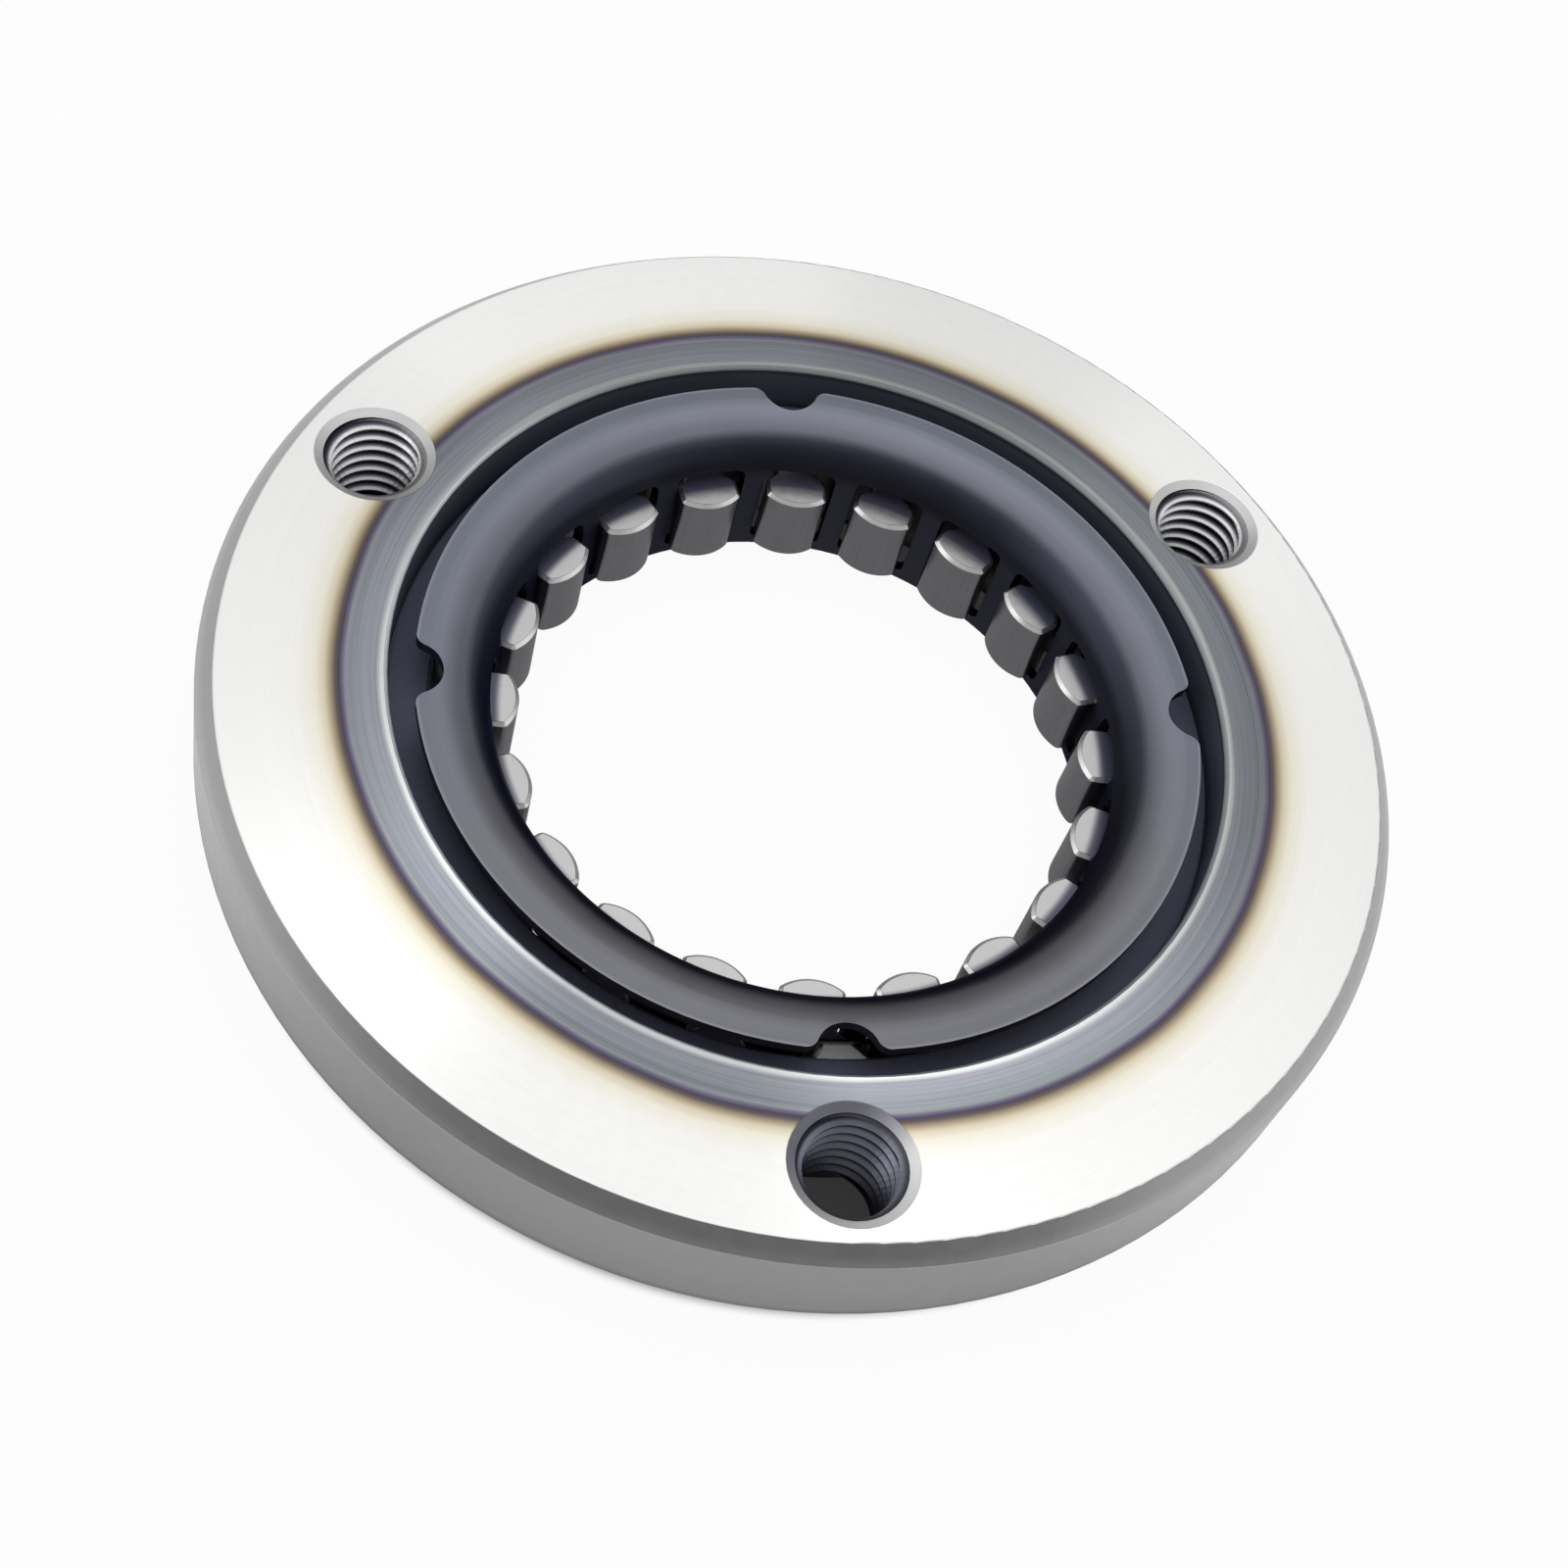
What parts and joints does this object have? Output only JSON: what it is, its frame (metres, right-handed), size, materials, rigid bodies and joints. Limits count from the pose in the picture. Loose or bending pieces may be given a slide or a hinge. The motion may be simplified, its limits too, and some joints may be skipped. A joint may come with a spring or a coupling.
{
  "type": "sprag clutch",
  "caption": "Double-cage sprag clutch in a steel ring with tapped mounting holes, for driving a shaft one way from a starter gear.",
  "frame": {"origin": "centre of the ground mounting face, on the clutch axis", "axes": "+Z along the clutch axis, out of the ground mounting face; -Y towards one of the tapped holes"},
  "size_m": [0.0926, 0.0926, 0.013],
  "materials": {
    "ground_steel": "ground and heat-tinted",
    "phosphated_sheet": "phosphated",
    "spring_steel": "bright rolled",
    "burnished_sheet": "drawn and oiled",
    "sprag_steel": "ground"
  },
  "bodies": {
    "race_ring": {"outer_race": "ground_steel", "outer_cage": "phosphated_sheet", "ribbon_spring": "spring_steel"},
    "inner_cage": {"inner_cage": "burnished_sheet"},
    "sprag_01": {"sprag_01": "sprag_steel"},
    "sprag_02": {"sprag_02": "sprag_steel"},
    "sprag_03": {"sprag_03": "sprag_steel"},
    "sprag_04": {"sprag_04": "sprag_steel"},
    "sprag_05": {"sprag_05": "sprag_steel"},
    "sprag_06": {"sprag_06": "sprag_steel"},
    "sprag_07": {"sprag_07": "sprag_steel"},
    "sprag_08": {"sprag_08": "sprag_steel"},
    "sprag_09": {"sprag_09": "sprag_steel"},
    "sprag_10": {"sprag_10": "sprag_steel"},
    "sprag_11": {"sprag_11": "sprag_steel"},
    "sprag_12": {"sprag_12": "sprag_steel"},
    "sprag_13": {"sprag_13": "sprag_steel"},
    "sprag_14": {"sprag_14": "sprag_steel"},
    "sprag_15": {"sprag_15": "sprag_steel"},
    "sprag_16": {"sprag_16": "sprag_steel"},
    "sprag_17": {"sprag_17": "sprag_steel"},
    "sprag_18": {"sprag_18": "sprag_steel"},
    "sprag_19": {"sprag_19": "sprag_steel"},
    "sprag_20": {"sprag_20": "sprag_steel"}
  },
  "joints": [
    {"name": "cage_turn", "type": "hinge", "parent": "race_ring", "child": "inner_cage", "pos_m": [0, 0, -0.008], "axis": [0, 0, 1], "range_deg": [-1.25, 0]},
    {"name": "sprag_01_tilt", "type": "hinge", "parent": "race_ring", "child": "sprag_01", "pos_m": [0.02738, 0.00091, -0.00845], "axis": [0, 0, 1], "range_deg": [0, 10]},
    {"name": "sprag_02_tilt", "type": "hinge", "parent": "race_ring", "child": "sprag_02", "pos_m": [0.02576, 0.00933, -0.00845], "axis": [0, 0, 1], "range_deg": [0, 10]},
    {"name": "sprag_03_tilt", "type": "hinge", "parent": "race_ring", "child": "sprag_03", "pos_m": [0.02162, 0.01683, -0.00845], "axis": [0, 0, 1], "range_deg": [0, 10]},
    {"name": "sprag_04_tilt", "type": "hinge", "parent": "race_ring", "child": "sprag_04", "pos_m": [0.01536, 0.02269, -0.00845], "axis": [0, 0, 1], "range_deg": [0, 10]},
    {"name": "sprag_05_tilt", "type": "hinge", "parent": "race_ring", "child": "sprag_05", "pos_m": [0.0076, 0.02633, -0.00845], "axis": [0, 0, 1], "range_deg": [0, 10]},
    {"name": "sprag_06_tilt", "type": "hinge", "parent": "race_ring", "child": "sprag_06", "pos_m": [-0.00091, 0.02738, -0.00845], "axis": [0, 0, 1], "range_deg": [0, 10]},
    {"name": "sprag_07_tilt", "type": "hinge", "parent": "race_ring", "child": "sprag_07", "pos_m": [-0.00933, 0.02576, -0.00845], "axis": [0, 0, 1], "range_deg": [0, 10]},
    {"name": "sprag_08_tilt", "type": "hinge", "parent": "race_ring", "child": "sprag_08", "pos_m": [-0.01683, 0.02162, -0.00845], "axis": [0, 0, 1], "range_deg": [0, 10]},
    {"name": "sprag_09_tilt", "type": "hinge", "parent": "race_ring", "child": "sprag_09", "pos_m": [-0.02269, 0.01536, -0.00845], "axis": [0, 0, 1], "range_deg": [0, 10]},
    {"name": "sprag_10_tilt", "type": "hinge", "parent": "race_ring", "child": "sprag_10", "pos_m": [-0.02633, 0.0076, -0.00845], "axis": [0, 0, 1], "range_deg": [0, 10]},
    {"name": "sprag_11_tilt", "type": "hinge", "parent": "race_ring", "child": "sprag_11", "pos_m": [-0.02738, -0.00091, -0.00845], "axis": [0, 0, 1], "range_deg": [0, 10]},
    {"name": "sprag_12_tilt", "type": "hinge", "parent": "race_ring", "child": "sprag_12", "pos_m": [-0.02576, -0.00933, -0.00845], "axis": [0, 0, 1], "range_deg": [0, 10]},
    {"name": "sprag_13_tilt", "type": "hinge", "parent": "race_ring", "child": "sprag_13", "pos_m": [-0.02162, -0.01683, -0.00845], "axis": [0, 0, 1], "range_deg": [0, 10]},
    {"name": "sprag_14_tilt", "type": "hinge", "parent": "race_ring", "child": "sprag_14", "pos_m": [-0.01536, -0.02269, -0.00845], "axis": [0, 0, 1], "range_deg": [0, 10]},
    {"name": "sprag_15_tilt", "type": "hinge", "parent": "race_ring", "child": "sprag_15", "pos_m": [-0.0076, -0.02633, -0.00845], "axis": [0, 0, 1], "range_deg": [0, 10]},
    {"name": "sprag_16_tilt", "type": "hinge", "parent": "race_ring", "child": "sprag_16", "pos_m": [0.00091, -0.02738, -0.00845], "axis": [0, 0, 1], "range_deg": [0, 10]},
    {"name": "sprag_17_tilt", "type": "hinge", "parent": "race_ring", "child": "sprag_17", "pos_m": [0.00933, -0.02576, -0.00845], "axis": [0, 0, 1], "range_deg": [0, 10]},
    {"name": "sprag_18_tilt", "type": "hinge", "parent": "race_ring", "child": "sprag_18", "pos_m": [0.01683, -0.02162, -0.00845], "axis": [0, 0, 1], "range_deg": [0, 10]},
    {"name": "sprag_19_tilt", "type": "hinge", "parent": "race_ring", "child": "sprag_19", "pos_m": [0.02269, -0.01536, -0.00845], "axis": [0, 0, 1], "range_deg": [0, 10]},
    {"name": "sprag_20_tilt", "type": "hinge", "parent": "race_ring", "child": "sprag_20", "pos_m": [0.02633, -0.0076, -0.00845], "axis": [0, 0, 1], "range_deg": [0, 10]}
  ],
  "couplings": [
    {"joint": "sprag_01_tilt", "follows": "cage_turn", "ratio": -8},
    {"joint": "sprag_02_tilt", "follows": "cage_turn", "ratio": -8},
    {"joint": "sprag_03_tilt", "follows": "cage_turn", "ratio": -8},
    {"joint": "sprag_04_tilt", "follows": "cage_turn", "ratio": -8},
    {"joint": "sprag_05_tilt", "follows": "cage_turn", "ratio": -8},
    {"joint": "sprag_06_tilt", "follows": "cage_turn", "ratio": -8},
    {"joint": "sprag_07_tilt", "follows": "cage_turn", "ratio": -8},
    {"joint": "sprag_08_tilt", "follows": "cage_turn", "ratio": -8},
    {"joint": "sprag_09_tilt", "follows": "cage_turn", "ratio": -8},
    {"joint": "sprag_10_tilt", "follows": "cage_turn", "ratio": -8},
    {"joint": "sprag_11_tilt", "follows": "cage_turn", "ratio": -8},
    {"joint": "sprag_12_tilt", "follows": "cage_turn", "ratio": -8},
    {"joint": "sprag_13_tilt", "follows": "cage_turn", "ratio": -8},
    {"joint": "sprag_14_tilt", "follows": "cage_turn", "ratio": -8},
    {"joint": "sprag_15_tilt", "follows": "cage_turn", "ratio": -8},
    {"joint": "sprag_16_tilt", "follows": "cage_turn", "ratio": -8},
    {"joint": "sprag_17_tilt", "follows": "cage_turn", "ratio": -8},
    {"joint": "sprag_18_tilt", "follows": "cage_turn", "ratio": -8},
    {"joint": "sprag_19_tilt", "follows": "cage_turn", "ratio": -8},
    {"joint": "sprag_20_tilt", "follows": "cage_turn", "ratio": -8}
  ]
}
